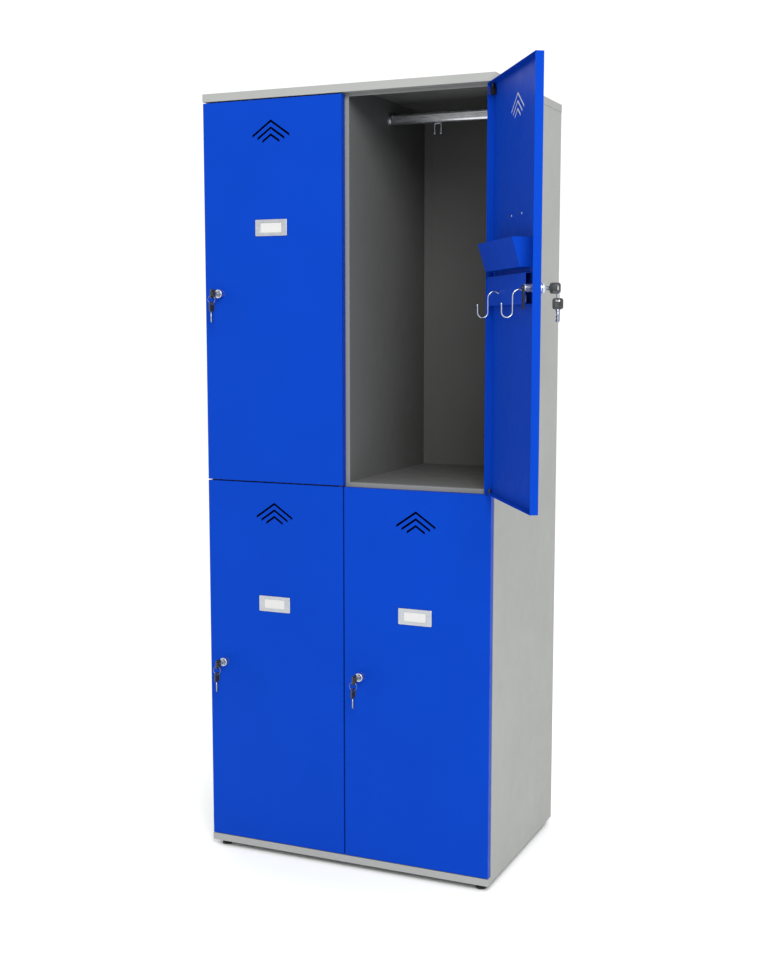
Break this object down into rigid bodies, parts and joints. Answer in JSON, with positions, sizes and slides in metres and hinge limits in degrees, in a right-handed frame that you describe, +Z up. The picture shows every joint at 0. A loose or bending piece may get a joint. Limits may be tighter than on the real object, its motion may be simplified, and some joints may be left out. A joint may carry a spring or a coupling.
{
  "type": "locker cabinet",
  "caption": "Steel locker cabinet on levelling feet: stacked compartments with hanging rods behind hinged, vented doors with key locks, one door standing open.",
  "frame": {"origin": "on the floor plane, at the middle of the four levelling feet", "axes": "+Z up, -Y towards the doors, +X to the right seen from the front"},
  "size_m": [0.9323, 0.773, 1.8],
  "materials": {
    "carcass_paint": "semi-matt powder coat, light grey",
    "door_paint": "semi-gloss powder coat, strong blue",
    "zinc_steel": "bright zinc",
    "oiled_steel": "dark oiled steel",
    "rod_aluminium": "bright drawn tube",
    "socket_paint": "grey powder coat",
    "lock_chrome": "polished nickel",
    "label_frame": "satin",
    "card": "plain white card",
    "key_plastic": "moulded dark grey bow",
    "foot_plastic": "black, matt"
  },
  "bodies": {
    "carcass": {"left_side_panel": "carcass_paint", "right_side_panel": "carcass_paint", "centre_partition": "carcass_paint", "centre_post": "carcass_paint", "back_panel": "carcass_paint", "top_lid": "carcass_paint", "base_tray": "carcass_paint", "left_shelf": "carcass_paint", "right_shelf": "carcass_paint", "hinge_pins": "oiled_steel", "hanging_rods": "rod_aluminium", "rod_sockets": "socket_paint", "coat_hooks": "zinc_steel"},
    "foot_front_left_body": {"foot_front_left": "foot_plastic"},
    "foot_front_right_body": {"foot_front_right": "foot_plastic"},
    "foot_rear_left_body": {"foot_rear_left": "foot_plastic"},
    "foot_rear_right_body": {"foot_rear_right": "foot_plastic"},
    "door_upper_left": {"door_panel_upper_left": "door_paint", "door_channel_upper_left": "door_paint", "label_holder_upper_left": "label_frame", "label_card_upper_left": "card", "lock_case_upper_left": "lock_chrome"},
    "plug_upper_left": {"lock_plug_upper_left": "zinc_steel", "lock_cam_upper_left": "oiled_steel"},
    "key_body_upper_left": {"key_upper_left": "key_plastic"},
    "ring_upper_left": {"key_ring_upper_left": "zinc_steel"},
    "spare_upper_left": {"spare_key_upper_left": "key_plastic"},
    "door_upper_right": {"door_panel_upper_right": "door_paint", "door_channel_upper_right": "door_paint", "label_holder_upper_right": "label_frame", "label_card_upper_right": "card", "lock_case_upper_right": "lock_chrome", "door_bin_upper_right": "door_paint"},
    "plug_upper_right": {"lock_plug_upper_right": "zinc_steel", "lock_cam_upper_right": "oiled_steel"},
    "key_body_upper_right": {"key_upper_right": "key_plastic"},
    "ring_upper_right": {"key_ring_upper_right": "zinc_steel"},
    "spare_upper_right": {"spare_key_upper_right": "key_plastic"},
    "door_lower_left": {"door_panel_lower_left": "door_paint", "door_channel_lower_left": "door_paint", "label_holder_lower_left": "label_frame", "label_card_lower_left": "card", "lock_case_lower_left": "lock_chrome"},
    "plug_lower_left": {"lock_plug_lower_left": "zinc_steel", "lock_cam_lower_left": "oiled_steel"},
    "key_body_lower_left": {"key_lower_left": "key_plastic"},
    "ring_lower_left": {"key_ring_lower_left": "zinc_steel"},
    "spare_lower_left": {"spare_key_lower_left": "key_plastic"},
    "door_lower_right": {"door_panel_lower_right": "door_paint", "door_channel_lower_right": "door_paint", "label_holder_lower_right": "label_frame", "label_card_lower_right": "card", "lock_case_lower_right": "lock_chrome"},
    "plug_lower_right": {"lock_plug_lower_right": "zinc_steel", "lock_cam_lower_right": "oiled_steel"},
    "key_body_lower_right": {"key_lower_right": "key_plastic"},
    "ring_lower_right": {"key_ring_lower_right": "zinc_steel"},
    "spare_lower_right": {"spare_key_lower_right": "key_plastic"},
    "hook_outer": {"s_hook_outer_upper_right": "zinc_steel"},
    "hook_inner": {"s_hook_inner_upper_right": "zinc_steel"}
  },
  "joints": [
    {"name": "foot_front_left_screw", "type": "slide", "parent": "carcass", "child": "foot_front_left_body", "axis": [0, 0, -1], "range_m": [0, 0.015]},
    {"name": "foot_front_right_screw", "type": "slide", "parent": "carcass", "child": "foot_front_right_body", "axis": [0, 0, -1], "range_m": [0, 0.015]},
    {"name": "foot_rear_left_screw", "type": "slide", "parent": "carcass", "child": "foot_rear_left_body", "axis": [0, 0, -1], "range_m": [0, 0.015]},
    {"name": "foot_rear_right_screw", "type": "slide", "parent": "carcass", "child": "foot_rear_right_body", "axis": [0, 0, -1], "range_m": [0, 0.015]},
    {"name": "door_hinge_upper_left", "type": "hinge", "parent": "carcass", "child": "door_upper_left", "pos_m": [-0.008, -0.236, 1.34325], "axis": [0, 0, 1], "range_deg": [0, 108]},
    {"name": "lock_turn_upper_left", "type": "hinge", "parent": "door_upper_left", "child": "plug_upper_left", "pos_m": [-0.3125, -0.236, 1.34325], "axis": [0, 1, 0], "range_deg": [0, 90]},
    {"name": "key_pull_upper_left", "type": "slide", "parent": "plug_upper_left", "child": "key_body_upper_left", "axis": [0, -1, 0], "range_m": [0, 0.022]},
    {"name": "ring_swing_upper_left", "type": "hinge", "parent": "key_body_upper_left", "child": "ring_upper_left", "pos_m": [-0.3125, -0.2893, 1.33915], "axis": [1, 0, 0], "range_deg": [-25, 25]},
    {"name": "spare_swing_upper_left", "type": "hinge", "parent": "ring_upper_left", "child": "spare_upper_left", "pos_m": [-0.3125, -0.2893, 1.32055], "axis": [1, 0, 0], "range_deg": [-18, 18]},
    {"name": "door_hinge_upper_right", "type": "hinge", "parent": "carcass", "child": "door_upper_right", "pos_m": [0.35, -0.236, 1.34325], "axis": [0, 0, 1], "range_deg": [-124.1, 0.9]},
    {"name": "lock_turn_upper_right", "type": "hinge", "parent": "door_upper_right", "child": "plug_upper_right", "pos_m": [0.52072, -0.48814, 1.34325], "axis": [-0.8281, -0.5606, 0], "range_deg": [0, 90]},
    {"name": "key_pull_upper_right", "type": "slide", "parent": "plug_upper_right", "child": "key_body_upper_right", "axis": [0.8281, 0.5606, 0], "range_m": [0, 0.022]},
    {"name": "ring_swing_upper_right", "type": "hinge", "parent": "key_body_upper_right", "child": "ring_upper_right", "pos_m": [0.56485, -0.45826, 1.33915], "axis": [-0.5606, 0.8281, 0], "range_deg": [-25, 25]},
    {"name": "spare_swing_upper_right", "type": "hinge", "parent": "ring_upper_right", "child": "spare_upper_right", "pos_m": [0.56485, -0.45826, 1.32055], "axis": [-0.5606, 0.8281, 0], "range_deg": [-18, 18]},
    {"name": "door_hinge_lower_left", "type": "hinge", "parent": "carcass", "child": "door_lower_left", "pos_m": [-0.008, -0.236, 0.46875], "axis": [0, 0, 1], "range_deg": [0, 108]},
    {"name": "lock_turn_lower_left", "type": "hinge", "parent": "door_lower_left", "child": "plug_lower_left", "pos_m": [-0.3125, -0.236, 0.46875], "axis": [0, 1, 0], "range_deg": [0, 90]},
    {"name": "key_pull_lower_left", "type": "slide", "parent": "plug_lower_left", "child": "key_body_lower_left", "axis": [0, -1, 0], "range_m": [0, 0.022]},
    {"name": "ring_swing_lower_left", "type": "hinge", "parent": "key_body_lower_left", "child": "ring_lower_left", "pos_m": [-0.3125, -0.2893, 0.46465], "axis": [1, 0, 0], "range_deg": [-25, 25]},
    {"name": "spare_swing_lower_left", "type": "hinge", "parent": "ring_lower_left", "child": "spare_lower_left", "pos_m": [-0.3125, -0.2893, 0.44605], "axis": [1, 0, 0], "range_deg": [-18, 18]},
    {"name": "door_hinge_lower_right", "type": "hinge", "parent": "carcass", "child": "door_lower_right", "pos_m": [0.35, -0.236, 0.46875], "axis": [0, 0, 1], "range_deg": [0, 125]},
    {"name": "lock_turn_lower_right", "type": "hinge", "parent": "door_lower_right", "child": "plug_lower_right", "pos_m": [0.0455, -0.236, 0.46875], "axis": [0, 1, 0], "range_deg": [0, 90]},
    {"name": "key_pull_lower_right", "type": "slide", "parent": "plug_lower_right", "child": "key_body_lower_right", "axis": [0, -1, 0], "range_m": [0, 0.022]},
    {"name": "ring_swing_lower_right", "type": "hinge", "parent": "key_body_lower_right", "child": "ring_lower_right", "pos_m": [0.0455, -0.2893, 0.46465], "axis": [1, 0, 0], "range_deg": [-25, 25]},
    {"name": "spare_swing_lower_right", "type": "hinge", "parent": "ring_lower_right", "child": "spare_lower_right", "pos_m": [0.0455, -0.2893, 0.44605], "axis": [1, 0, 0], "range_deg": [-18, 18]},
    {"name": "hook_swing_outer", "type": "hinge", "parent": "door_upper_right", "child": "hook_outer", "pos_m": [0.49937, -0.46999, 1.336], "axis": [0.5606, -0.8281, 0], "range_deg": [0, 13]},
    {"name": "hook_swing_inner", "type": "hinge", "parent": "door_upper_right", "child": "hook_inner", "pos_m": [0.39284, -0.31266, 1.336], "axis": [0.5606, -0.8281, 0], "range_deg": [0, 13]}
  ]
}
